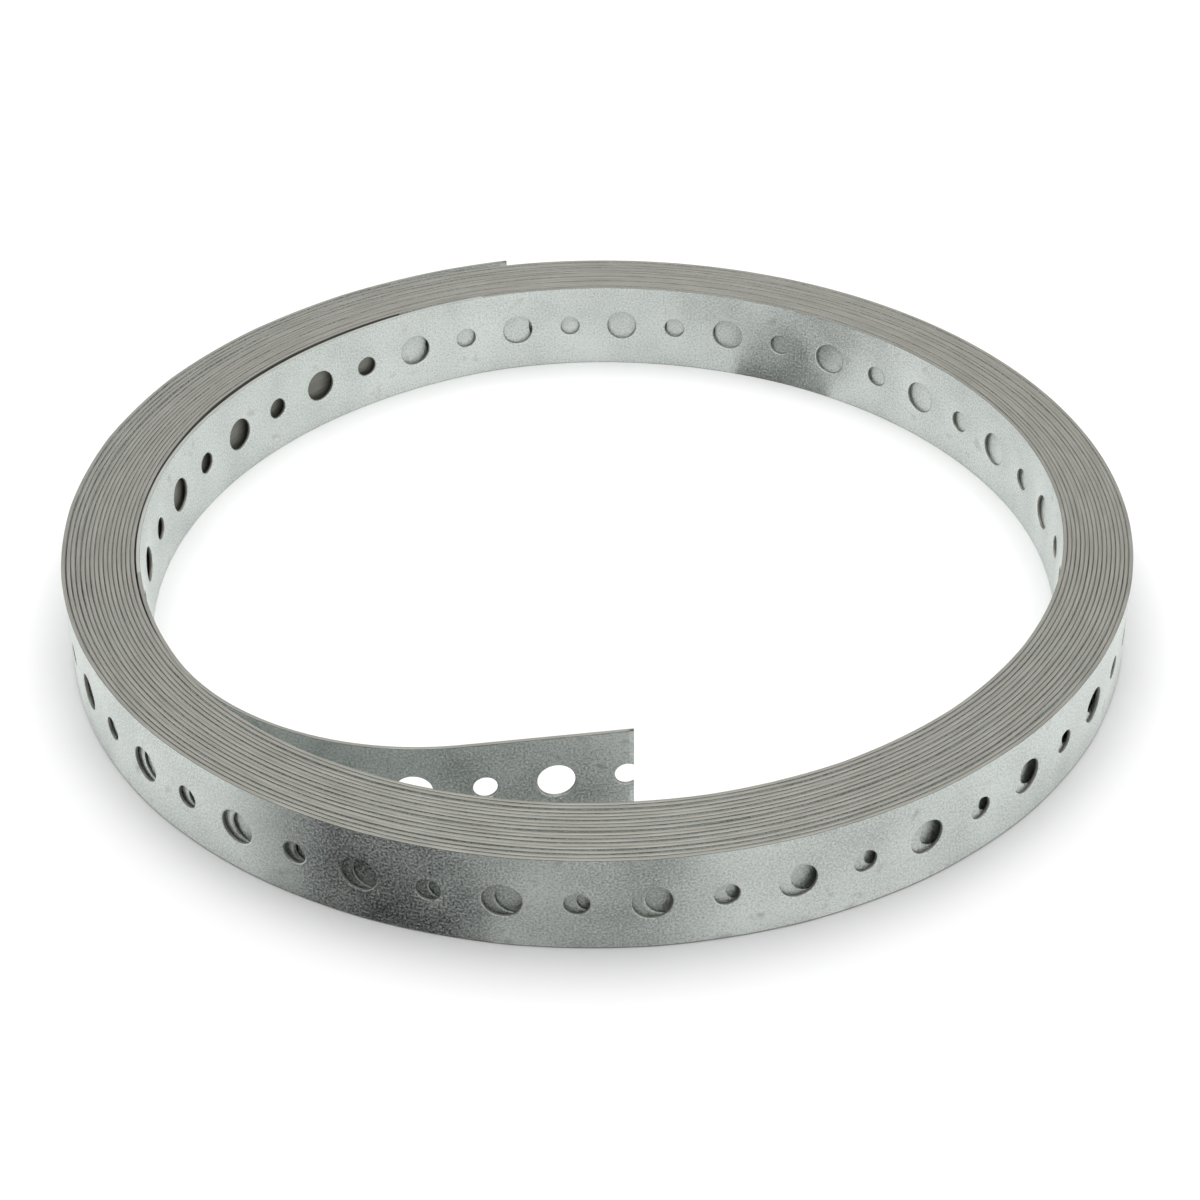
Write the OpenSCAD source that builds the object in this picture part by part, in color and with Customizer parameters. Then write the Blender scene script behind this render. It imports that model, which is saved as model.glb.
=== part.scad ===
// Roll of perforated steel strap, lying flat. The wound turns are one turned solid, in which a
// spiral groove on each end shows where one turn lies on the next. The innermost turn stands loose
// of the others and bends away into a straight tail.

/* [Strap] */
// Width of the strap, which is the height of the roll
strap_w = 20; // [16:0.5:26]
// Thickness of the strap
strap_t = 0.8; // [0.6:0.05:1]
// Break on the long edges of the strap
edge_break = 0.1; // [0.05:0.01:0.15]

/* [Holes] */
// Diameter of the large holes
large_d = 7; // [5:0.1:8]
// Diameter of the small holes
small_d = 4.5; // [3.5:0.1:5]
// Distance from a large hole to the small hole beside it
hole_pitch = 13.05; // [12:0.05:15]
// How far past the middle of a small hole both ends of the strap are cut off
cut_past = 1.25; // [0.8:0.05:1.6]

/* [Coil] */
// Outer radius of the roll on the side where the outer end of the strap lies
coil_r = 108.2; // [100:0.1:120]
// Whole turns wound one on another
turns = 16; // [10:1:18]
// Space between one turn and the next
turn_gap = 0.1; // [0.08:0.01:0.16]
// Depth of the groove between two turns on the ends of the roll
groove_d = 0.4; // [0.3:0.05:0.6]
// Direction from the middle of the roll to the outer end of the strap
end_angle = 101; // [95:1:105]

/* [Loose turn and tail] */
// Radius of the short bend in which the innermost turn parts from the others
part_r = 60; // [50:1:70]
// Angle of that bend
part_sweep = 8.8; // [7:0.1:10]
// How much larger the radius of the loose turn is than the radius that it was wound to
spring_back = 3.8; // [3:0.1:4.2]
// Direction in which the loose turn passes into the bend before the tail
leave_angle = 209; // [204:1:210]
// Radius of the bend before the tail
bend_r = 53; // [46:1:60]
// Direction of the tail
tail_angle = 8; // [4:0.5:12]
// Length of the straight tail
tail_l = 31.5; // [28:0.5:36]

/* [Hidden] */
$fn = 180;
hole_fn = 48;
zinc = [0.66, 0.68, 0.67];
turn_p = strap_t + turn_gap;
// A groove lies between the broken edges of two turns, so the edges have the slope of its sides.
edge_d = groove_d * edge_break / (edge_break + turn_gap / 2);
hole_depth = strap_t + turn_gap / 2;
reach = 2;
// Each arc of the loose end laps into its neighbours by an angle, and every other one is set in a
// hair, so that no two faces of them coincide.
lap = 0.6;
seam = 0.04;

// The spiral is made of half turns about two centres, a quarter of a turn's pitch to each side of
// the middle. Half a begins at the outer end of the strap, and half b brings each turn one pitch in.
half_a_c = dir(end_angle) * turn_p / 4;
half_b_c = -half_a_c;
half_a_r = coil_r;
half_b_r = coil_r - turn_p / 2;
bore_a_r = half_a_r - turns * turn_p + turn_gap;
bore_b_r = half_b_r - turns * turn_p + turn_gap;

// Each arc of the loose end begins where the one before it stops, in the same direction.
wound_r = bore_a_r - turn_p;
loose_r = wound_r + spring_back;
part_end = end_angle + part_sweep;
bend_end = 270 + tail_angle;
part_c = half_a_c + (wound_r - part_r) * dir(end_angle);
loose_c = part_c + (part_r - loose_r) * dir(part_end);
bend_c = loose_c + (loose_r - bend_r) * dir(leave_angle);
tail_start = bend_c + bend_r * dir(bend_end);
tail_end = tail_start + tail_l * dir(tail_angle);

// Lengths along the middle of the strap's thickness
half_a_l = arc_l(180, half_a_r - strap_t / 2);
half_b_l = arc_l(180, half_b_r - strap_t / 2);
outer_turn_l = half_a_l + half_b_l;
to_bend = tail_l;
to_loose = to_bend + arc_l(bend_end - leave_angle, bend_r + strap_t / 2);
to_part = to_loose + arc_l(leave_angle - part_end, loose_r + strap_t / 2);
to_half_b = to_part + arc_l(part_sweep, part_r + strap_t / 2);
to_half_a = to_half_b + arc_l(180, bore_b_r + strap_t / 2);
// The inner face of half a shows up to where the bend lies close to it.
bend_hides = 24;
inner_l = to_half_a + arc_l(end_angle + 180 - leave_angle - bend_hides, bore_a_r + strap_t / 2);

function dir(a) = [cos(a), sin(a)];
function arc_l(a, r) = a * PI / 180 * r;
function arc_a(l, r) = l / r * 180 / PI;

// The end of a half coil from its outer to its inner side, as radius and depth below the end
function end_line(r) = [for (k = [0 : turns - 1]) each [
    [r - k * turn_p - edge_break, 0],
    [r - k * turn_p - strap_t + edge_break, 0],
    k < turns - 1 ? [r - (k + 1) * turn_p + turn_gap / 2, groove_d]
        : [r - k * turn_p - strap_t, edge_d]]];

// Section of a half coil whose outer face has the radius r
module coil_section(r) {
    line = end_line(r);
    top = [for (q = line) [q[0], strap_w - q[1]]];
    bottom = [for (i = [len(line) - 1 : -1 : 0]) line[i]];
    polygon(concat([[r, edge_d], [r, strap_w - edge_d]], top, bottom));
}

// Section of one thickness of strap whose inner face has the radius r
module strap_section(r) {
    in = r + edge_break;
    out = r + strap_t - edge_break;
    polygon([[in, 0], [out, 0], [r + strap_t, edge_d], [r + strap_t, strap_w - edge_d],
        [out, strap_w], [in, strap_w], [r, strap_w - edge_d], [r, edge_d]]);
}

// Turns a section about the centre c from one direction to another
module turned(c, from, to) {
    translate(c) rotate(from) rotate_extrude(angle = to - from) children();
}

// A hole cutter whose axis runs out from the centre c in the direction a, from radius r0 to r1
module radial_hole(c, a, r0, r1, d) {
    translate([c[0], c[1], strap_w / 2]) rotate(a) translate([r0, 0, 0]) rotate([0, 90, 0])
        cylinder(d = d, h = r1 - r0, $fn = hole_fn);
}

// A hole through the strap from its inner face of radius r about the centre c
module inner_hole(c, a, r, d) {
    radial_hole(c, a, r - reach, r + hole_depth, d);
}

// A hole in the outer turn, at the length s from the outer end
module outer_turn_hole(s, d) {
    on_a = s < half_a_l;
    r = on_a ? half_a_r : half_b_r;
    at = on_a ? s : s - half_a_l;
    a = (on_a ? end_angle : end_angle + 180) + arc_a(at, r - strap_t / 2);
    radial_hole(on_a ? half_a_c : half_b_c, a, r - hole_depth, r + reach, d);
}

// A hole in the tail, the loose turn or the coil's inner face, at the length s from the inner end
module inner_turn_hole(s, d) {
    mid = strap_t / 2;
    if (s < to_bend) {
        p = tail_end - s * dir(tail_angle);
        radial_hole(p - bend_r * dir(bend_end), bend_end, bend_r - reach, bend_r + hole_depth, d);
    } else if (s < to_loose) {
        inner_hole(bend_c, bend_end - arc_a(s - to_bend, bend_r + mid), bend_r, d);
    } else if (s < to_part) {
        inner_hole(loose_c, leave_angle - arc_a(s - to_loose, loose_r + mid), loose_r, d);
    } else if (s < to_half_b) {
        inner_hole(part_c, part_end - arc_a(s - to_part, part_r + mid), part_r, d);
    } else if (s < to_half_a) {
        inner_hole(half_b_c, end_angle + 360 - arc_a(s - to_half_b, bore_b_r + mid), bore_b_r, d);
    } else {
        inner_hole(half_a_c, end_angle + 180 - arc_a(s - to_half_a, bore_a_r + mid), bore_a_r, d);
    }
}

// The wound turns
module coil() {
    turned(half_a_c, end_angle, end_angle + 180) coil_section(half_a_r);
    turned(half_b_c, end_angle + 180, end_angle + 360) coil_section(half_b_r);
}

// The innermost turn where it is loose, the bend and the straight tail
module loose_end() {
    turned(part_c, end_angle - lap, part_end + lap) strap_section(part_r - seam);
    turned(loose_c, part_end, leave_angle) strap_section(loose_r);
    turned(bend_c, leave_angle - lap, bend_end + lap) strap_section(bend_r - seam);
    translate(tail_start) rotate(tail_angle) rotate([90, 0, 90])
        linear_extrude(tail_l) mirror([1, 0]) strap_section(0);
}

// Large and small holes by turns, along the outer turn and along the inner one
module holes() {
    for (i = [0 : floor((outer_turn_l - large_d) / hole_pitch - 0.5)])
        outer_turn_hole(i * hole_pitch + cut_past, i % 2 == 0 ? small_d : large_d);
    for (i = [0 : floor((inner_l - large_d) / hole_pitch)])
        inner_turn_hole(i * hole_pitch + cut_past, i % 2 == 0 ? small_d : large_d);
}

module strap() {
    color(zinc) difference() {
        union() {
            coil();
            loose_end();
        }
        holes();
    }
}

strap();
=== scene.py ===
"""A roll of galvanised perforated strap: one punched strip, wound turn on turn and lying flat."""
import logging
import math
from dataclasses import dataclass, field
from enum import Enum

import bmesh
import bpy
import numpy as np
from mathutils import Euler, Matrix, Vector


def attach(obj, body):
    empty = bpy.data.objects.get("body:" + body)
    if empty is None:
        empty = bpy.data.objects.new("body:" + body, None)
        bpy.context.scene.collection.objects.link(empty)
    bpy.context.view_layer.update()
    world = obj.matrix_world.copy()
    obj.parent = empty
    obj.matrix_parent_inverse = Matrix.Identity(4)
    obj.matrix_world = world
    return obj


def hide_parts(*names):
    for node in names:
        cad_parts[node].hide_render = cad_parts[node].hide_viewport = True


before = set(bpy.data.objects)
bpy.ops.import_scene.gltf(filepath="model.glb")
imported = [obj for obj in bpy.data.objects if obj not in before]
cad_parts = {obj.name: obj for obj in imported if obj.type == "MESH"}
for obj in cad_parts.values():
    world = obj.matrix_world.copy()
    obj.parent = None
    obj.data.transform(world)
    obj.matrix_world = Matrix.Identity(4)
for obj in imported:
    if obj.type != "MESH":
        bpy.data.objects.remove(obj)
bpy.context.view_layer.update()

log = logging.getLogger("strap_roll")

Colour = tuple[float, float, float]
Span = tuple[float, float]
Socket = bpy.types.NodeSocket

MM = 0.001
TINY = 0.002 * MM
MERGE = 0.01 * MM
STRIP_UV = "strip"
SHEET_UV = "sheet"
BLACK: Colour = (0.0, 0.0, 0.0)
WHITE: Colour = (1.0, 1.0, 1.0)


class Detail(Enum):
    """How finely a pitch of the strip is divided: sides of its hole, and steps of the hole's round rim."""

    SHOWN = (32, 2)
    BEHIND = (16, 1)
    COVERED = (16, 0)

    @property
    def sides(self) -> int:
        """Number of sides of the hole."""
        return self.value[0]

    @property
    def rim_steps(self) -> int:
        """Number of steps in the round of the hole's rim."""
        return self.value[1]


class Surface(Enum):
    """Material index of the kinds of surface on the strap."""

    ZINC = 0
    # Sheared steel of the cut edges, and painted shade on the faces across the gap between the loose turn
    # and the coil
    SHEARED = 1
    WORN = 2


def toward(angle: float) -> np.ndarray:
    """Unit direction at an angle, seen from above."""
    return np.array([math.cos(angle), math.sin(angle)])


def new_object(name: str, bm: bmesh.types.BMesh) -> bpy.types.Object:
    """Turns a finished bmesh into an object of the scene.

    Args:
        name: Name of the object and of its mesh.
        bm: The shape, which is used up.

    Returns:
        The object, at the origin.
    """
    mesh = bpy.data.meshes.new(name)
    bm.to_mesh(mesh)
    bm.free()
    made = bpy.data.objects.new(name, mesh)
    bpy.context.scene.collection.objects.link(made)
    return made


@dataclass(frozen=True)
class Swell:
    """A side of the roll on which its turns lie farther apart, or farther in or out.

    Args:
        direction: Direction from the middle of the roll, in radians.
        spread: Angle to each side over which the swell dies away, in radians.
        most: Its size in the middle, in metres.
        ease: Power that shapes how softly it dies away.
    """

    direction: float
    spread: float
    most: float
    ease: float = 1.5

    def at(self, angle: np.ndarray) -> np.ndarray:
        """Works out the size of the swell.

        Args:
            angle: Directions from the middle of the roll, in radians.

        Returns:
            Its size in each direction, in metres.
        """
        off = (angle - self.direction + math.pi) % math.tau - math.pi
        share = np.cos(np.clip(off / self.spread, -1.0, 1.0) * math.pi / 2)
        return self.most * np.clip(share, 0.0, 1.0) ** self.ease


@dataclass(frozen=True)
class StrapSizes:
    """Sizes of the flat punched strip, in metres."""

    width: float = 20 * MM
    thickness: float = 0.8 * MM
    large_r: float = 3.5 * MM
    small_r: float = 2.25 * MM
    hole_pitch: float = 13.05 * MM
    cut_past: float = 1.25 * MM
    edge_break: float = 0.12 * MM
    rim_round: float = 0.35 * MM

    @property
    def repeat(self) -> float:
        """Distance from one large hole to the next."""
        return 2 * self.hole_pitch

    def hole_r(self, index: int) -> float:
        """Radius of a hole, counted from the outer end, where a small hole comes first."""
        return self.large_r if index % 2 else self.small_r


@dataclass
class Winding:
    """Course of the middle of the strap's thickness, seen from above.

    It runs from the outer end of the strap round the wound turns, through the loose innermost turn
    and the bend to the end of the straight tail.
    """

    strap: StrapSizes
    # Wound turns
    start_r: float = 108.025 * MM
    end_angle: float = math.radians(101)
    turns: int = 16
    # Space between the turns, which lie less tight on some sides
    tight_gap: float = 0.01 * MM
    slacks: tuple[Swell, ...] = (
        Swell(math.radians(165), math.radians(75), 0.085 * MM),
        Swell(math.radians(283), math.radians(95), 0.18 * MM),
    )
    outer_turns: float = 5.0
    outer_slack: Swell = Swell(math.radians(150), math.radians(65), 0.17 * MM)
    # One wider gap at the back, and the flattened left side
    loose_turn: float = 4.6
    loose: Swell = Swell(math.radians(75), math.radians(90), 0.3 * MM)
    dent: Swell = Swell(math.radians(182), math.radians(40), 0.6 * MM)
    # Kinks at the large holes and a slow wander, as shares of the space between turns
    kink_share: float = 0.25
    wander_share: float = 0.2
    wander_rate: float = 1.37
    wander_phase: float = 0.4
    # Outer end, which springs out
    spring_out: float = 1.5 * MM
    spring_sweep: float = math.radians(42)
    # Loose turn, bend and tail
    wound_r: float = 93.4 * MM
    wound_gap: float = 0.1 * MM
    part_r: float = 60.4 * MM
    part_sweep: float = math.radians(8.8)
    spring_back: float = 3.8 * MM
    press: Swell = Swell(math.radians(180), math.radians(60), 0.92 * MM)
    leave_angle: float = math.radians(209)
    bend_r: float = 53.4 * MM
    tail_angle: float = math.radians(8)
    tail_l: float = 31.5 * MM
    lean: float = 0.3 * MM
    lean_share: float = 0.75
    # How far the turns lie off the floor: waves from turn to turn, as share, rate and phase
    lift: float = 0.25 * MM
    lift_waves: tuple[tuple[float, float, float], ...] = ((0.6, 0.7 * math.pi, 0.7), (0.4, 5.3, 1.9))
    settle_turns: float = 0.5
    # Course in steps
    step: float = 0.4 * MM
    points: np.ndarray = field(init=False)
    reach: np.ndarray = field(init=False)
    normals: np.ndarray = field(init=False)
    lifts: np.ndarray = field(init=False)
    leans: np.ndarray = field(init=False)

    def __post_init__(self) -> None:
        """Samples the course once, for place() to look up."""
        coil, turn = self._coil()
        loose = self._loose_end(coil[-1])
        self.points = np.concatenate([coil, loose[1:]])
        hops = np.linalg.norm(np.diff(self.points, axis=0), axis=1)
        self.reach = np.concatenate([[0.0], np.cumsum(hops)])
        ahead = np.gradient(self.points, self.reach, axis=0)
        ahead /= np.linalg.norm(ahead, axis=1)[:, None]
        self.normals = np.stack([ahead[:, 1], -ahead[:, 0]], axis=1)
        waves = sum(share * np.sin(turn * rate + phase) for share, rate, phase in self.lift_waves)
        settle = np.clip((self.turns - turn) / self.settle_turns, 0.0, 1.0)
        lifts = self.lift * (1.0 + waves) / 2 * settle
        self.lifts = np.concatenate([lifts, np.zeros(len(loose) - 1)])
        along = np.linspace(0.0, 1.0, len(loose) - 1)
        leans = self.lean * np.sin(math.pi * np.clip(along / self.lean_share, 0.0, 1.0))
        self.leans = np.concatenate([np.zeros(len(coil)), leans])

    @property
    def length(self) -> float:
        """Length of the whole strap."""
        return float(self.reach[-1])

    def gap(self, angle: np.ndarray) -> np.ndarray:
        """Space between one turn and the next in each direction."""
        return self.tight_gap + sum(slack.at(angle) for slack in self.slacks)

    def _coil(self) -> tuple[np.ndarray, np.ndarray]:
        """Samples the wound turns.

        Returns:
            The points of the spiral, and the number of turns from the outer end at each of them.
        """
        count = int(self.turns * math.tau * self.start_r / self.step)
        sweep = np.linspace(0.0, self.turns * math.tau, count)
        angle = self.end_angle + sweep
        turn = sweep / math.tau
        gap = self.gap(angle)
        outer_gap = self.outer_slack.at(angle)
        radius = self.start_r - turn * (self.strap.thickness + gap)
        radius -= np.minimum(turn, self.outer_turns) * outer_gap + self.dent.at(angle)
        radius -= np.where(turn > self.loose_turn, self.loose.at(angle), 0.0)
        gap = gap + np.clip(self.outer_turns - turn, 0.0, 1.0) * outer_gap
        along = np.concatenate([[0.0], np.cumsum(radius[1:] * np.diff(sweep))])
        first_large = self.strap.hole_pitch + self.strap.cut_past
        bow = np.abs(np.sin(math.pi * (along - first_large) / self.strap.repeat))
        radius += self.kink_share * gap * (1.0 - 2.0 * bow)
        covered = np.clip(turn, 0.0, 1.0) * np.clip(self.turns - turn, 0.0, 1.0)
        radius += self.wander_share * gap * covered * np.sin(self.wander_rate * sweep + self.wander_phase)
        free = np.clip(1.0 - sweep / self.spring_sweep, 0.0, 1.0)
        radius += self.spring_out * free ** 2
        return radius[:, None] * np.stack([np.cos(angle), np.sin(angle)], axis=1), turn

    def _loose_end(self, start: np.ndarray) -> np.ndarray:
        """Samples the loose turn, the bend and the tail.

        Args:
            start: Last point of the wound turns, from which the loose turn goes on.

        Returns:
            The points up to the end of the tail.
        """
        quarter = (self.strap.thickness + self.wound_gap) / 4
        loose_r = self.wound_r + self.spring_back
        part_end = self.end_angle + self.part_sweep
        bend_end = 1.5 * math.pi + self.tail_angle
        part_c = toward(self.end_angle) * (quarter + self.wound_r - self.part_r)
        loose_c = part_c + toward(part_end) * (self.part_r - loose_r)
        bend_c = loose_c + toward(self.leave_angle) * (loose_r - self.bend_r)
        parting = self._arc(part_c, self.part_r, self.end_angle, part_end)
        beside_coil = self._arc(loose_c, loose_r, part_end, self.leave_angle)
        bend = self._arc(bend_c, self.bend_r, self.leave_angle, bend_end)
        curve = np.concatenate([parting, beside_coil[1:], bend[1:]])
        share = np.linspace(0.0, 1.0, len(curve))
        settle = 1.0 - share ** 2 * (3.0 - 2.0 * share)
        curve = curve + settle[:, None] * (start - curve[0])
        pressed = self.press.at(np.arctan2(curve[:, 1], curve[:, 0]) % math.tau)
        curve = curve * (1.0 + pressed / np.linalg.norm(curve, axis=1))[:, None]
        run = np.append(np.arange(self.step, self.tail_l, self.step), self.tail_l)
        return np.concatenate([curve, curve[-1] + run[:, None] * toward(self.tail_angle)])

    def _arc(self, middle: np.ndarray, radius: float, start: float, end: float) -> np.ndarray:
        """Points along an arc, about one step apart."""
        angle = np.linspace(start, end, max(int(abs(end - start) * radius / self.step), 2))
        return middle + radius * np.stack([np.cos(angle), np.sin(angle)], axis=1)

    def place(self, along: np.ndarray, across: np.ndarray, out: np.ndarray) -> np.ndarray:
        """Winds points of the flat strip onto the course.

        Args:
            along: Lengths from the outer end, in metres.
            across: Distances from the middle of the width, upwards.
            out: Distances from the middle of the thickness, outwards.

        Returns:
            The wound points, one row each.
        """

        def look(column: np.ndarray) -> np.ndarray:
            """Value of one sampled column at each of the lengths."""
            return np.interp(along, self.reach, column)

        away = out + look(self.leans) * across / (self.strap.width / 2)
        return np.stack([
            look(self.points[:, 0]) + look(self.normals[:, 0]) * away,
            look(self.points[:, 1]) + look(self.normals[:, 1]) * away,
            self.strap.width / 2 + across + look(self.lifts),
        ], axis=1)


@dataclass(frozen=True)
class Grain:
    """Fineness of a noise texture.

    Args:
        scale: Cells to the metre.
        detail: How many finer layers lie on the first.
        roughness: How strong the finer layers are.
    """

    scale: float
    detail: float
    roughness: float


class ShaderNodes:
    """The nodes of a material or of the surroundings, and the shader that they feed."""

    def __init__(self, tree: bpy.types.NodeTree, shader: str) -> None:
        """Takes up a node tree.

        Args:
            tree: The node tree of the material or the surroundings.
            shader: Name of its shader node.
        """
        self.nodes = tree.nodes
        self.links = tree.links
        self.shader = tree.nodes[shader]

    def fix(self, name: str, value: float | tuple[float, ...]) -> None:
        """Sets one of the shader's own sockets."""
        self.shader.inputs[name].default_value = value

    def feed(self, name: str, source: Socket) -> None:
        """Links a value to one of the shader's sockets."""
        self.links.new(source, self.shader.inputs[name])

    def own_place(self, uv_map: str) -> Socket:
        """Gives the coordinates that a mesh carries.

        Args:
            uv_map: Name of the mesh's UV map.

        Returns:
            The coordinates.
        """
        node = self.nodes.new("ShaderNodeUVMap")
        node.uv_map = uv_map
        return node.outputs["UV"]

    def drawn_out(self, where: Socket, share: float) -> Socket:
        """Draws coordinates out along the strip.

        Args:
            where: The coordinates.
            share: Share of the length that is left to a texture.

        Returns:
            The drawn coordinates.
        """
        node = self.nodes.new("ShaderNodeMapping")
        node.inputs["Scale"].default_value = (share, 1.0, 1.0)
        self.links.new(where, node.inputs["Vector"])
        return node.outputs["Vector"]

    def noise(self, where: Socket, grain: Grain) -> Socket:
        """Adds a noise texture.

        Args:
            where: Coordinates in metres.
            grain: Its fineness.

        Returns:
            The noise, about 0.5 in the middle.
        """
        node = self.nodes.new("ShaderNodeTexNoise")
        node.inputs["Scale"].default_value = grain.scale
        node.inputs["Detail"].default_value = grain.detail
        node.inputs["Roughness"].default_value = grain.roughness
        self.links.new(where, node.inputs["Vector"])
        return node.outputs["Fac"]

    def mixed(self, first: Socket, second: Socket, share: float) -> Socket:
        """Mixes two values.

        Args:
            first: The one value.
            second: The other value.
            share: Share of the other value.

        Returns:
            The mixed value.
        """
        node = self.nodes.new("ShaderNodeMix")
        node.data_type = "FLOAT"
        node.inputs["Factor"].default_value = share
        self.links.new(first, node.inputs["A"])
        self.links.new(second, node.inputs["B"])
        return node.outputs["Result"]

    def tinted(self, colour: Socket, tint: Colour, share: Socket) -> Socket:
        """Mixes a plain colour into another.

        Args:
            colour: The colour that is there.
            tint: The plain colour.
            share: Share of the plain colour.

        Returns:
            The mixed colour.
        """
        node = self.nodes.new("ShaderNodeMix")
        node.data_type = "RGBA"
        node.inputs["B"].default_value = (*tint, 1.0)
        self.links.new(share, node.inputs["Factor"])
        self.links.new(colour, node.inputs["A"])
        return node.outputs["Result"]

    def remapped(self, value: Socket, levels: Span, shares: Span) -> Socket:
        """Maps a value between two levels to a share.

        Args:
            value: The value.
            levels: The two levels.
            shares: The share at each of them.

        Returns:
            The share.
        """
        node = self.nodes.new("ShaderNodeMapRange")
        for end, level, share in zip(("Min", "Max"), levels, shares):
            node.inputs[f"From {end}"].default_value = level
            node.inputs[f"To {end}"].default_value = share
        self.links.new(value, node.inputs["Value"])
        return node.outputs["Result"]

    def two_tone(self, value: Socket, levels: Span, low: Colour, high: Colour) -> Socket:
        """Shades a value from one colour to another.

        Args:
            value: The value.
            levels: The levels at which the two colours are reached.
            low: The colour at the lower level.
            high: The colour at the higher level.

        Returns:
            The colour.
        """
        node = self.nodes.new("ShaderNodeValToRGB")
        for stop, level, colour in zip(node.color_ramp.elements, levels, (low, high)):
            stop.position = level
            stop.color = (*colour, 1.0)
        self.links.new(value, node.inputs["Fac"])
        return node.outputs["Color"]

    def combined(self, operation: str, first: Socket, second: Socket) -> Socket:
        """Works out a value from two others.

        Args:
            operation: Name of the operation.
            first: The one value.
            second: The other value.

        Returns:
            What comes of it.
        """
        node = self.nodes.new("ShaderNodeMath")
        node.operation = operation
        self.links.new(first, node.inputs[0])
        self.links.new(second, node.inputs[1])
        return node.outputs["Value"]

    def bumped(self, height: Socket, strength: float, depth: float) -> Socket:
        """Makes a fine relief.

        Args:
            height: The height, from 0 to 1.
            strength: How strongly it shows.
            depth: Depth of the relief, in metres.

        Returns:
            The surface's direction.
        """
        node = self.nodes.new("ShaderNodeBump")
        node.inputs["Strength"].default_value = strength
        node.inputs["Distance"].default_value = depth
        self.links.new(height, node.inputs["Height"])
        return node.outputs["Normal"]

    def along(self, uv_map: str) -> Socket:
        """Gives the direction along the strip.

        Args:
            uv_map: Name of the UV map that follows the strip.

        Returns:
            The direction.
        """
        node = self.nodes.new("ShaderNodeTangent")
        node.direction_type = "UV_MAP"
        node.uv_map = uv_map
        return node.outputs["Tangent"]

    def seen(self) -> Socket:
        """Tells what is seen from what gives light.

        Returns:
            1 for what the camera sees, straight or in a reflection, and 0 for light.
        """
        path = self.nodes.new("ShaderNodeLightPath")
        seen = path.outputs["Is Camera Ray"]
        for way in ("Is Glossy Ray", "Is Transmission Ray"):
            seen = self.combined("MAXIMUM", seen, path.outputs[way])
        return seen


def new_material(name: str) -> tuple[bpy.types.Material, ShaderNodes]:
    """Makes a plain material.

    Args:
        name: Name of the material.

    Returns:
        The material and its nodes.
    """
    mat = bpy.data.materials.new(name)
    mat.use_nodes = True
    return mat, ShaderNodes(mat.node_tree, "Principled BSDF")


@dataclass(frozen=True)
class ZincFinish:
    """Galvanised face of the strap: fine dull specks in bright zinc, rolled along the strip.

    The pale grains are rougher and less metallic than the dull ones, so that the grain shows most
    where the zinc mirrors something dark. Small stains gather in cloudy patches.
    """

    name: str = "galvanised_zinc"
    pale: Colour = (0.765, 0.81, 0.78)
    dull: Colour = (0.44, 0.47, 0.45)
    stain: Colour = (0.36, 0.35, 0.31)
    speck: Grain = Grain(2300.0, 4.0, 0.7)
    cloud: Grain = Grain(60.0, 3.0, 0.55)
    spot: Grain = Grain(240.0, 4.0, 0.65)
    cloud_share: float = 0.25
    tone_levels: Span = (0.38, 0.57)
    spot_levels: Span = (0.56, 0.72)
    patch_levels: Span = (0.5, 0.62)
    stain_share: float = 0.6
    rough_levels: Span = (0.38, 0.62)
    roughness: Span = (0.3, 0.62)
    metal_levels: Span = (0.44, 0.6)
    metallic: Span = (1.0, 0.74)
    relief: float = 0.5
    relief_d: float = 0.15 * MM
    drawn: float = 0.85
    drawn_turn: float = 0.25

    def make(self) -> bpy.types.Material:
        """Builds the material.

        Returns:
            The material, for faces that carry the strip's own coordinates.
        """
        mat, nodes = new_material(self.name)
        strip = nodes.own_place(STRIP_UV)
        speck = nodes.noise(strip, self.speck)
        cloud = nodes.noise(strip, self.cloud)
        spot = nodes.noise(strip, self.spot)
        grain = nodes.mixed(speck, cloud, self.cloud_share)
        spots = nodes.remapped(spot, self.spot_levels, (0.0, 1.0))
        patches = nodes.remapped(cloud, self.patch_levels, (0.0, self.stain_share))
        stains = nodes.combined("MULTIPLY", spots, patches)
        tone = nodes.two_tone(grain, self.tone_levels, self.dull, self.pale)
        nodes.feed("Base Color", nodes.tinted(tone, self.stain, stains))
        nodes.feed("Roughness", nodes.remapped(grain, self.rough_levels, self.roughness))
        nodes.feed("Metallic", nodes.remapped(grain, self.metal_levels, self.metallic))
        nodes.feed("Normal", nodes.bumped(speck, self.relief, self.relief_d))
        nodes.feed("Tangent", nodes.along(STRIP_UV))
        nodes.fix("Anisotropic", self.drawn)
        nodes.fix("Anisotropic Rotation", self.drawn_turn)
        return mat


@dataclass(frozen=True)
class ShearedFinish:
    """Edge where the strip was slit and punched: bare steel, warmer and streaked along the strip. Also
    painted shade on the faces across the gap between the loose turn and the coil.
    """

    name: str = "sheared_steel_and_gap_shade"
    pale: Colour = (0.238, 0.236, 0.21)
    dull: Colour = (0.182, 0.18, 0.157)
    streak: Grain = Grain(1500.0, 3.0, 0.6)
    streak_share: float = 0.06
    tone_levels: Span = (0.36, 0.6)
    metallic: float = 0.5
    roughness: float = 0.5

    def make(self) -> bpy.types.Material:
        """Builds the material.

        Returns:
            The material, for faces that carry the strip's own coordinates.
        """
        mat, nodes = new_material(self.name)
        drawn = nodes.drawn_out(nodes.own_place(STRIP_UV), self.streak_share)
        streak = nodes.noise(drawn, self.streak)
        nodes.feed("Base Color", nodes.two_tone(streak, self.tone_levels, self.dull, self.pale))
        nodes.fix("Metallic", self.metallic)
        nodes.fix("Roughness", self.roughness)
        return mat


FINISHES: dict[Surface, ZincFinish | ShearedFinish] = {
    Surface.ZINC: ZincFinish(),
    Surface.SHEARED: ShearedFinish(),
    Surface.WORN: ShearedFinish("worn_edge", (0.37, 0.38, 0.36), (0.31, 0.32, 0.3)),
}


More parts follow.
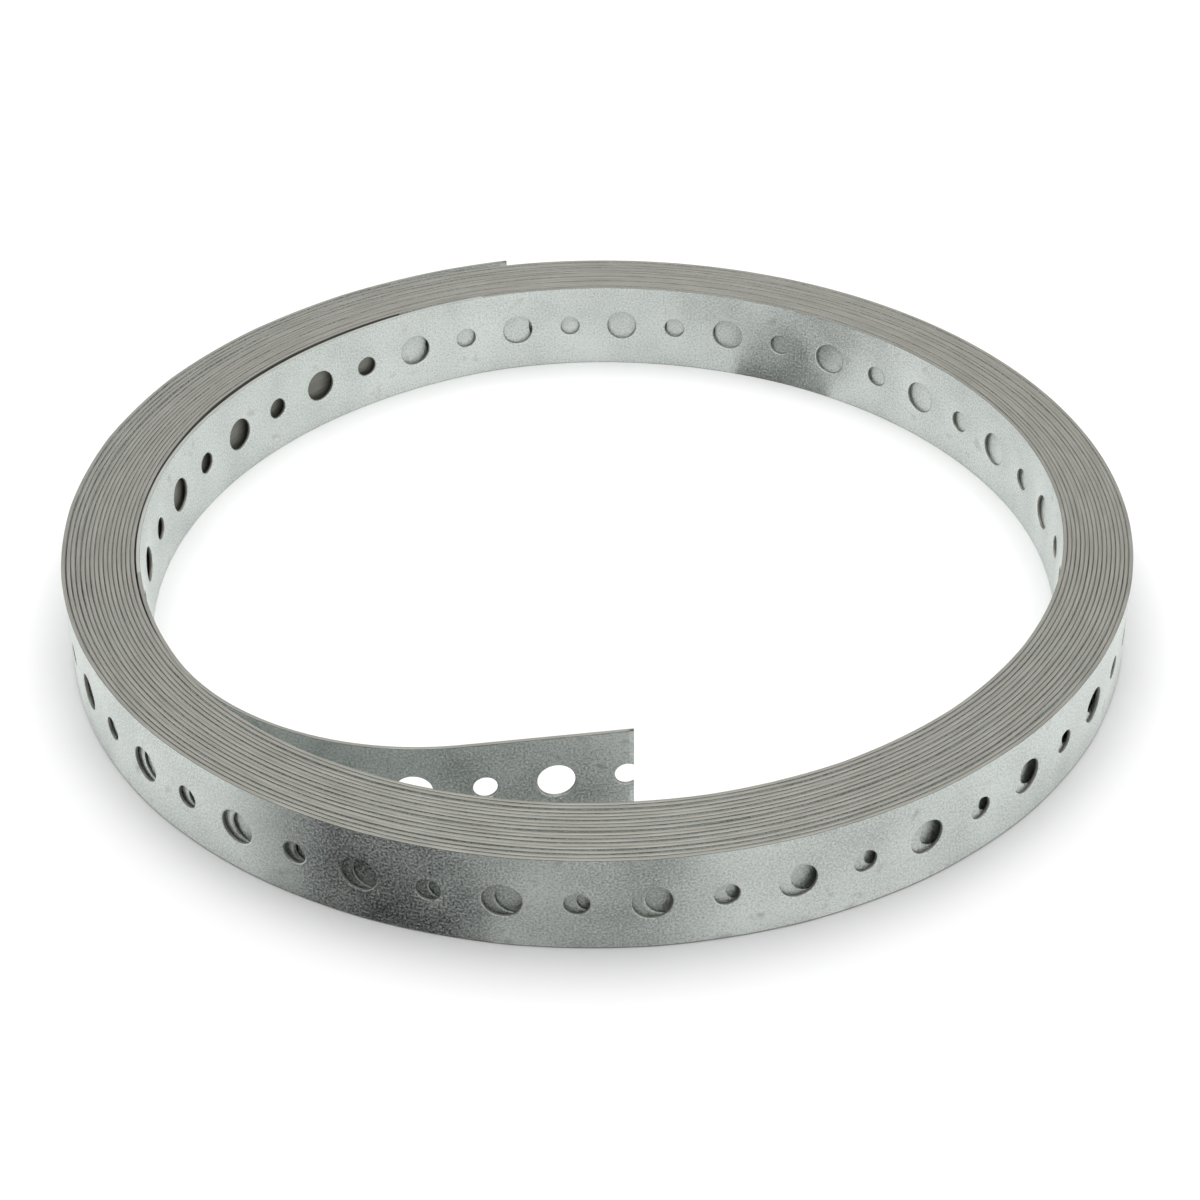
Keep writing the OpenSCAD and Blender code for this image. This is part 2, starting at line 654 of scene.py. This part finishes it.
@dataclass
class PunchedStrap:
    """The strap: punched flat, cut to length and wound.

    Args:
        sizes: Sizes of the flat strip.
        winding: Course that it is wound onto.
        outer_cells: Pitches on the outer turn, which are seen.
        inner_cells: Pitches on the inner turn, which are seen.
        behind_cells: Pitches on the next turn, which are seen through the holes of these.
        worn: Lengths from the inner end between which the edges are worn pale.
        gap_shade_spans: Lengths from the inner end between which a face gets the darker sheared steel as
            painted
        shade of the narrow gap between the loose turn and the coil, and 1 for the outer face or -1 for the
        inner one.
        outer_slips: How far the strip has slipped on, at lengths from the outer end, in millimetres.
        inner_slips: The same at lengths from the inner end.
    """

    sizes: StrapSizes
    winding: Winding
    outer_cells: int = 53
    inner_cells: int = 54
    behind_cells: int = 52
    worn: Span = (127 * MM, 266 * MM)
    # Spans of faces painted with the darker sheared steel as shade of the gap between the loose turn and
    # the coil
    gap_shade_spans: tuple[tuple[float, float, int], ...] = ((96 * MM, 268 * MM, 1), (690 * MM, 838 * MM, -1))
    outer_slips: tuple[Span, ...] = (
        (0, 0), (80, 0), (240, -0.5), (440, -0.5), (850, -4.3), (1155, -4.4), (1530, 2.65), (1830, 2.6),
    )
    inner_slips: tuple[Span, ...] = (
        (1010, 5.2), (941, 4.7), (889, 3.8), (830, 2.0), (640, 2.6), (368, 2.9), (309, 2.2), (284, 0.6),
        (263, -0.2), (236, -0.4), (140, 0.5), (31.5, 0), (0, 0),
    )
    edge_share: float = 0.9
    cut_reach: float = 10 * MM
    face_weight: int = 50

    def build(self) -> bpy.types.Object:
        """Makes the wound strap.

        Returns:
            The strap as one mesh object in its place.
        """
        span = self.winding.length - 2 * self.sizes.cut_past
        holes = 2 * round(span / self.sizes.repeat) + 1
        flat_l = (holes - 1) * self.sizes.hole_pitch + 2 * self.sizes.cut_past
        bm = self._strip(holes)
        self._cut_end(bm, 0.0, -1)
        self._cut_end(bm, flat_l, 1)
        # Pale worn edges on the loose turn, and painted shade on the faces across its gap to the coil
        self._wear_and_shade_loose_end(bm, flat_l)
        self._lay_uv(bm)
        self._wind(bm, flat_l)
        piece = new_object("wound_strap", bm)
        faces = len(piece.data.polygons)
        log.info("%s: %.2f m of strap, %d holes, %d faces", piece.name, self.winding.length, holes, faces)
        return piece

    def dress(self, piece: bpy.types.Object) -> None:
        """Gives the strap its finishes and smooth shading.

        Args:
            piece: The strap.
        """
        for surface in Surface:
            piece.data.materials.append(FINISHES[surface].make())
        piece.data.shade_smooth()
        weigh = piece.modifiers.new("broad faces lead", "WEIGHTED_NORMAL")
        weigh.mode = "FACE_AREA"
        weigh.weight = self.face_weight

    def _cell(self, hole_r: float, detail: Detail) -> bpy.types.Mesh:
        """Makes one pitch of flat strip around a hole, open at both ends.

        Args:
            hole_r: Radius of the hole.
            detail: How finely it is divided.

        Returns:
            The mesh, with the strip along X, its width along Y and its outer face towards +Z.
        """
        bm = self._pierced(hole_r, detail.sides)
        self._thicken(bm)
        self._break_edges(bm, hole_r, detail.rim_steps)
        edge = self.sizes.width / 2 - self.sizes.edge_break * self.edge_share
        for f in bm.faces:
            middle = f.calc_center_median()
            sheared = abs(middle.z) < self.sizes.thickness / 4 or abs(middle.y) > edge
            f.material_index = (Surface.SHEARED if sheared else Surface.ZINC).value
        mesh = bpy.data.meshes.new("cell")
        bm.to_mesh(mesh)
        bm.free()
        return mesh

    def _pierced(self, hole_r: float, sides: int) -> bmesh.types.BMesh:
        """Makes one pitch of the strip as a sheet without thickness.

        Args:
            hole_r: Radius of the hole.
            sides: Number of sides of the hole.

        Returns:
            The sheet, with the hole in its middle.
        """
        half = self.sizes.hole_pitch / 2
        bm = bmesh.new()
        bmesh.ops.create_circle(bm, segments=sides, radius=hole_r)
        square = bmesh.ops.create_circle(bm, segments=sides, radius=half)["verts"]
        for v in square:
            v.co *= half / max(abs(v.co.x), abs(v.co.y))
        bmesh.ops.bridge_loops(bm, edges=bm.edges[:])
        for way in (-1, 1):
            rail = [e for e in bm.edges if all(abs(v.co.y - way * half) < TINY for v in e.verts)]
            grown = bmesh.ops.extrude_edge_only(bm, edges=rail)["geom"]
            for v in grown:
                if isinstance(v, bmesh.types.BMVert):
                    v.co.y = way * self.sizes.width / 2
        return bm

    def _thicken(self, bm: bmesh.types.BMesh) -> None:
        """Gives a pierced sheet its thickness, half to each side, and opens its two ends.

        Args:
            bm: The sheet.
        """
        half = self.sizes.hole_pitch / 2
        bmesh.ops.recalc_face_normals(bm, faces=bm.faces[:])
        if bm.faces[:][0].normal.z < 0:
            bmesh.ops.reverse_faces(bm, faces=bm.faces[:])
        bmesh.ops.solidify(bm, geom=bm.faces[:], thickness=self.sizes.thickness)
        middle = sum(v.co.z for v in bm.verts) / len(bm.verts)
        bmesh.ops.translate(bm, verts=bm.verts[:], vec=(0.0, 0.0, -middle))
        ends = [f for f in bm.faces if all(abs(abs(v.co.x) - half) < TINY for v in f.verts)]
        bmesh.ops.delete(bm, geom=ends, context="FACES")

    def _break_edges(self, bm: bmesh.types.BMesh, hole_r: float, rim_steps: int) -> None:
        """Rounds the rims of the hole and breaks the long edges.

        Args:
            bm: One pitch of the strip.
            hole_r: Radius of the hole.
            rim_steps: Steps in the round of the rims, or 0 to leave them sharp.
        """
        side = self.sizes.width / 2
        if rim_steps:
            rims = [e for e in bm.edges if self._is_level(e)
                    and all(abs(v.co.xy.length - hole_r) < TINY for v in e.verts)]
            self._break(bm, rims, self.sizes.rim_round, rim_steps)
        long = [e for e in bm.edges if self._is_level(e)
                and all(abs(abs(v.co.y) - side) < TINY for v in e.verts)]
        self._break(bm, long, self.sizes.edge_break, 1)

    @staticmethod
    def _is_level(edge: bmesh.types.BMEdge) -> bool:
        """Tells if an edge of the flat strip runs level and not through its thickness."""
        return abs(edge.verts[0].co.z - edge.verts[1].co.z) < TINY

    @staticmethod
    def _break(bm: bmesh.types.BMesh, edges: list[bmesh.types.BMEdge], offset: float, steps: int) -> None:
        """Breaks sharp edges with a small flat, or a round of a few steps."""
        bmesh.ops.bevel(bm, geom=edges, offset=offset, offset_type="OFFSET", segments=steps, profile=0.5,
                        affect="EDGES", material=-1)

    def _detail(self, index: int, holes: int) -> Detail:
        """Tells how finely a pitch is divided, by how many pitches lie between it and either end.

        Args:
            index: Number of the pitch from the outer end.
            holes: Number of holes in the whole strip.

        Returns:
            The fineness.
        """
        past_seen = min(index - self.outer_cells, holes - self.inner_cells - 1 - index)
        if past_seen < 0:
            return Detail.SHOWN
        return Detail.BEHIND if past_seen < self.behind_cells else Detail.COVERED

    def _strip(self, holes: int) -> bmesh.types.BMesh:
        """Joins cells into the flat strip, from the outer end along X.

        Args:
            holes: Number of holes in the whole strip.

        Returns:
            The strip, a little longer than the strap at both ends.
        """
        size = self.sizes
        kinds = [(r, d) for r in (size.small_r, size.large_r) for d in Detail]
        cells = {kind: self._cell(*kind) for kind in kinds}
        placed = {kind: 0.0 for kind in kinds}
        bm = bmesh.new()
        for index in range(holes):
            kind = (size.hole_r(index), self._detail(index, holes))
            at = size.cut_past + index * size.hole_pitch
            cells[kind].transform(Matrix.Translation((at - placed[kind], 0.0, 0.0)))
            placed[kind] = at
            bm.from_mesh(cells[kind])
        for mesh in cells.values():
            bpy.data.meshes.remove(mesh)
        open_verts = [v for v in bm.verts if v.is_boundary]
        bmesh.ops.remove_doubles(bm, verts=open_verts, dist=MERGE)
        self._close_seams(bm, holes)
        return bm

    def _close_seams(self, bm: bmesh.types.BMesh, holes: int) -> None:
        """Welds the extra points on the seams where finely and plainly divided cells meet.

        Args:
            bm: The flat strip.
            holes: Number of holes in it.
        """
        for index in (self.outer_cells, holes - self.inner_cells):
            seam = self.sizes.cut_past + (index - 0.5) * self.sizes.hole_pitch
            on_seam = [v for v in bm.verts if abs(v.co.x - seam) < MERGE and v.is_boundary]
            spare = [v for v in on_seam if self._is_extra(v)]
            keep = [v for v in on_seam if v not in spare]
            weld = {v: min(keep, key=lambda k: (k.co - v.co).length) for v in spare}
            bmesh.ops.weld_verts(bm, targetmap=weld)

    @staticmethod
    def _is_extra(vert: bmesh.types.BMVert) -> bool:
        """Tells if a point on an open seam belongs to the finely divided cell alone."""
        return len(vert.link_edges) == 3 and sum(e.is_boundary for e in vert.link_edges) == 2

    def _cut_end(self, bm: bmesh.types.BMesh, at: float, way: int) -> None:
        """Cuts the strip off square and closes the cut.

        Args:
            bm: The flat strip.
            at: Where the cut is, along the strip.
            way: 1 to cut off what lies beyond, and -1 to cut off what lies before.
        """
        near = [f for f in bm.faces if abs(f.calc_center_median().x - at) < self.cut_reach]
        parts = [*near, *(e for f in near for e in f.edges), *(v for f in near for v in f.verts)]
        bmesh.ops.bisect_plane(bm, geom=list(dict.fromkeys(parts)), dist=TINY, plane_co=(at, 0.0, 0.0),
                               plane_no=(way, 0.0, 0.0), clear_outer=True)
        rim = [e for e in bm.edges if e.is_boundary and all(abs(v.co.x - at) < MERGE for v in e.verts)]
        bmesh.ops.edgeloop_fill(bm, edges=rim, mat_nr=Surface.SHEARED.value, use_smooth=False)

    def _wear_and_shade_loose_end(self, bm: bmesh.types.BMesh, flat_l: float) -> None:
        """Wears the loose turn's edges pale, and paints shade of the narrow gap onto the faces between it
        and the coil, with the darker sheared steel.

        Args:
            bm: The flat strip.
            flat_l: Length of the flat strip.
        """
        edge = self.sizes.width / 2 - self.sizes.edge_break
        skin = self.sizes.thickness / 2 - TINY
        for f in bm.faces:
            middle = f.calc_center_median()
            from_end = flat_l - middle.x
            if self.worn[0] < from_end < self.worn[1] and abs(middle.y) > edge:
                f.material_index = Surface.WORN.value
            # Faces across the gap between the loose turn and the coil take the darker sheared steel as
            # painted shade of the gap
            elif any(near < from_end < far and middle.z * way > skin for near, far, way in self.gap_shade_spans):
                f.material_index = Surface.SHEARED.value

    @staticmethod
    def _lay_uv(bm: bmesh.types.BMesh) -> None:
        """Lays out the strip's own coordinates in metres, along and across it.

        Args:
            bm: The flat strip.
        """
        layer = bm.loops.layers.uv.new(STRIP_UV)
        for f in bm.faces:
            for loop in f.loops:
                co = loop.vert.co
                loop[layer].uv = (co.x, co.y + co.z)

    def _wind(self, bm: bmesh.types.BMesh, flat_l: float) -> None:
        """Winds the flat strip with the slips of its turns. The covered turns take up the odd length.

        Args:
            bm: The flat strip.
            flat_l: Length of the flat strip.
        """
        odd = self.winding.length - flat_l
        marks = [at * MM for at, _ in self.outer_slips] + [flat_l - at * MM for at, _ in self.inner_slips]
        slips = [by * MM for _, by in self.outer_slips] + [odd + by * MM for _, by in self.inner_slips]
        flat = np.array([v.co for v in bm.verts])
        along = flat[:, 0] + np.interp(flat[:, 0], marks, slips)
        wound = self.winding.place(along, flat[:, 1], flat[:, 2])
        for v, co in zip(bm.verts, wound):
            v.co = co
        bmesh.ops.recalc_face_normals(bm, faces=bm.faces[:])


@dataclass(frozen=True)
class Card:
    """A bent sheet of card that lies on the floor, stands up at its far end, and shows only in the metal.

    Args:
        name: Name of the card.
        start: Middle of its near end on the floor.
        turn: Direction in which it runs from there, in radians.
        length: How far it runs.
        near: Width of its near end.
        wide: Width of its far end.
        height: How far it stands up, or 0 for a flat card.
        shade: Its grey, from 0 to 1.
        soft: Share of its width over which it fades out at each side.
        strips: Number of strips that it is divided into across its width.
        lift: How far a black card lies above the floor.
        lift_more: How much higher a white one lies, so that no two cards lie at one height.
    """

    name: str
    start: tuple[float, float]
    turn: float
    length: float
    near: float
    wide: float
    height: float
    shade: float
    soft: float
    strips: int = 8
    lift: float = 0.05 * MM
    lift_more: float = 0.2 * MM

    def build(self) -> bpy.types.Object:
        """Makes the card, a hair above the floor.

        Returns:
            The card, which only reflections show.
        """
        bm = bmesh.new()
        bm.loops.layers.uv.new(SHEET_UV)
        bmesh.ops.create_grid(bm, x_segments=1, y_segments=self.strips, size=0.5, calc_uvs=True)
        for v in bm.verts:
            v.co.y *= self.wide if v.co.x > 0.0 else self.near
            v.co.x = (v.co.x + 0.5) * self.length
        if self.height:
            self._stand_up(bm)
        bmesh.ops.rotate(bm, verts=bm.verts[:], matrix=Matrix.Rotation(self.turn, 3, "Z"))
        above = self.lift + self.lift_more * self.shade
        bmesh.ops.translate(bm, verts=bm.verts[:], vec=(*self.start, above))
        card = new_object(self.name, bm)
        card.data.materials.append(self._shading())
        card.visible_camera = False
        card.visible_diffuse = False
        card.visible_shadow = False
        card.visible_transmission = False
        log.info("%s: grey of %.2f", self.name, self.shade)
        return card

    def _stand_up(self, bm: bmesh.types.BMesh) -> None:
        """Bends the card up at its far end.

        Args:
            bm: The flat card.
        """
        far = [e for e in bm.edges if all(v.co.x > self.length / 2 for v in e.verts)]
        stood = bmesh.ops.extrude_edge_only(bm, edges=far)["geom"]
        stood = [v for v in stood if isinstance(v, bmesh.types.BMVert)]
        bmesh.ops.translate(bm, verts=stood, vec=(0.0, 0.0, self.height))

    def _shading(self) -> bpy.types.Material:
        """Builds the card's grey, which fades away to nothing at both sides.

        Returns:
            The material.
        """
        mat, nodes = new_material(self.name)
        across = nodes.nodes.new("ShaderNodeSeparateXYZ")
        nodes.links.new(nodes.own_place(SHEET_UV), across.inputs["Vector"])
        fade = nodes.nodes.new("ShaderNodeValToRGB")
        fade.color_ramp.interpolation = "EASE"
        stops = fade.color_ramp.elements
        for place in (self.soft, 1.0 - self.soft):
            stops.new(place).color = (*WHITE, 1.0)
        for end in (stops[0], stops[-1]):
            end.color = (*BLACK, 1.0)
        nodes.links.new(across.outputs["Y"], fade.inputs["Fac"])
        nodes.feed("Alpha", fade.outputs["Color"])
        nodes.fix("Emission Color", (self.shade, self.shade, self.shade, 1.0))
        nodes.fix("Emission Strength", 1.0)
        nodes.fix("Base Color", (*BLACK, 1.0))
        nodes.fix("Specular IOR Level", 0.0)
        return mat


@dataclass
class Studio:
    """Plain pale floor, soft light and camera, in metres and radians."""

    # Floor, which is plainly white to the camera farther out than the shadow reaches
    floor_size: float = 40.0
    floor_grey: float = 0.82
    floor_roughness: float = 0.9
    shadow_r: float = 0.25
    white_r: float = 0.6
    # Light of the surroundings, how white they are to the camera, and one lamp over the roll
    world_light: float = 0.5
    world_seen: float = 1.0
    lamp_at: tuple[float, float, float] = (0.0, 0.1, 0.9)
    lamp_size: float = 0.9
    lamp_power: float = 9.0
    # Camera
    eye: tuple[float, float, float] = (0.0, -440.7 * MM, 311.6 * MM)
    pitch: float = math.radians(-35.459)
    yaw: float = math.radians(0.078)
    roll: float = math.radians(-0.432)
    lens: float = 77.755
    sensor: float = 36.0
    nearest: float = 0.01
    # Cards that the zinc mirrors
    cards: tuple[Card, ...] = (
        Card("dark_card", start=(-0.0275, -0.0960), turn=math.radians(222), length=0.096,
             near=0.042, wide=0.155, height=0.12, shade=0.03, soft=0.28),
        Card("grey_card", start=(-0.0005, -0.1048), turn=math.radians(269), length=0.1,
             near=0.054, wide=0.165, height=0.12, shade=0.38, soft=0.3),
        Card("pale_card", start=(0.0405, -0.0985), turn=math.radians(321), length=0.09,
             near=0.05, wide=0.170, height=0.12, shade=0.8, soft=0.3),
        Card("inner_card", start=(0.0474, 0.0868), turn=math.radians(219.9), length=0.05,
             near=0.0245, wide=0.008, height=0.0, shade=0.0, soft=0.06),
        Card("far_card", start=(0.0098, 0.0554), turn=math.radians(219.9), length=0.07,
             near=0.008, wide=0.035, height=0.02, shade=0.0, soft=0.06),
        Card("tail_card", start=(-0.012, -0.077), turn=math.radians(270), length=0.0145,
             near=0.08, wide=0.08, height=0.008, shade=0.15, soft=0.05),
    )

    def build(self) -> None:
        """Makes the floor, the light, the cards and the camera."""
        self._floor()
        self._world()
        self._lamp()
        for card in self.cards:
            card.build()
        self._camera()

    def _floor(self) -> None:
        """Makes the floor, which is white to the camera but still takes the object's shadow."""
        bm = bmesh.new()
        bmesh.ops.create_grid(bm, x_segments=1, y_segments=1, size=self.floor_size / 2)
        floor = new_object("floor", bm)
        mat, nodes = new_material("floor_white")
        where = nodes.nodes.new("ShaderNodeTexCoord")
        away = nodes.nodes.new("ShaderNodeVectorMath")
        away.operation = "LENGTH"
        nodes.links.new(where.outputs["Object"], away.inputs[0])
        fade = nodes.remapped(away.outputs["Value"], (self.shadow_r, self.white_r), (0.0, 1.0))
        nodes.feed("Emission Strength", nodes.combined("MULTIPLY", fade, nodes.seen()))
        nodes.fix("Emission Color", (*WHITE, 1.0))
        nodes.fix("Base Color", (self.floor_grey, self.floor_grey, self.floor_grey, 1.0))
        nodes.fix("Roughness", self.floor_roughness)
        nodes.fix("Specular IOR Level", 0.0)
        floor.data.materials.append(mat)
        log.info("floor: %.0f m wide", self.floor_size)

    def _world(self) -> None:
        """Makes the surroundings: white to the camera and in reflections, softer as light."""
        world = bpy.data.worlds.new("studio")
        world.use_nodes = True
        nodes = ShaderNodes(world.node_tree, "Background")
        level = nodes.remapped(nodes.seen(), (0.0, 1.0), (self.world_light, self.world_seen))
        nodes.feed("Strength", level)
        nodes.fix("Color", (*WHITE, 1.0))
        bpy.context.scene.world = world

    def _lamp(self) -> None:
        """Hangs a soft square lamp that points at the middle of the roll."""
        data = bpy.data.lights.new("top_light", "AREA")
        data.size = self.lamp_size
        data.energy = self.lamp_power
        lamp = bpy.data.objects.new("top_light", data)
        lamp.location = self.lamp_at
        lamp.rotation_euler = (-Vector(self.lamp_at)).to_track_quat("-Z", "Y").to_euler()
        lamp.visible_camera = False
        bpy.context.scene.collection.objects.link(lamp)

    def _camera(self) -> None:
        """Sets the camera where the photograph was taken from."""
        data = bpy.data.cameras.new("camera")
        data.lens = self.lens
        data.sensor_width = self.sensor
        data.clip_start = self.nearest
        camera = bpy.data.objects.new("camera", data)
        camera.location = self.eye
        turn = Euler((math.pi / 2 + self.pitch, 0.0, -self.yaw), "XYZ").to_matrix()
        camera.rotation_euler = (turn @ Euler((0.0, 0.0, self.roll)).to_matrix()).to_euler()
        scene = bpy.context.scene
        scene.collection.objects.link(camera)
        scene.camera = camera
        scene.view_settings.view_transform = "Standard"


def main() -> None:
    """Builds the strap and the studio."""
    logging.basicConfig(level=logging.INFO)
    sizes = StrapSizes()
    strap = PunchedStrap(sizes, Winding(sizes))
    piece = strap.build()
    strap.dress(piece)
    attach(piece, "root")
    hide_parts("strap")
    Studio().build()


if __name__ == "__main__":
    main()
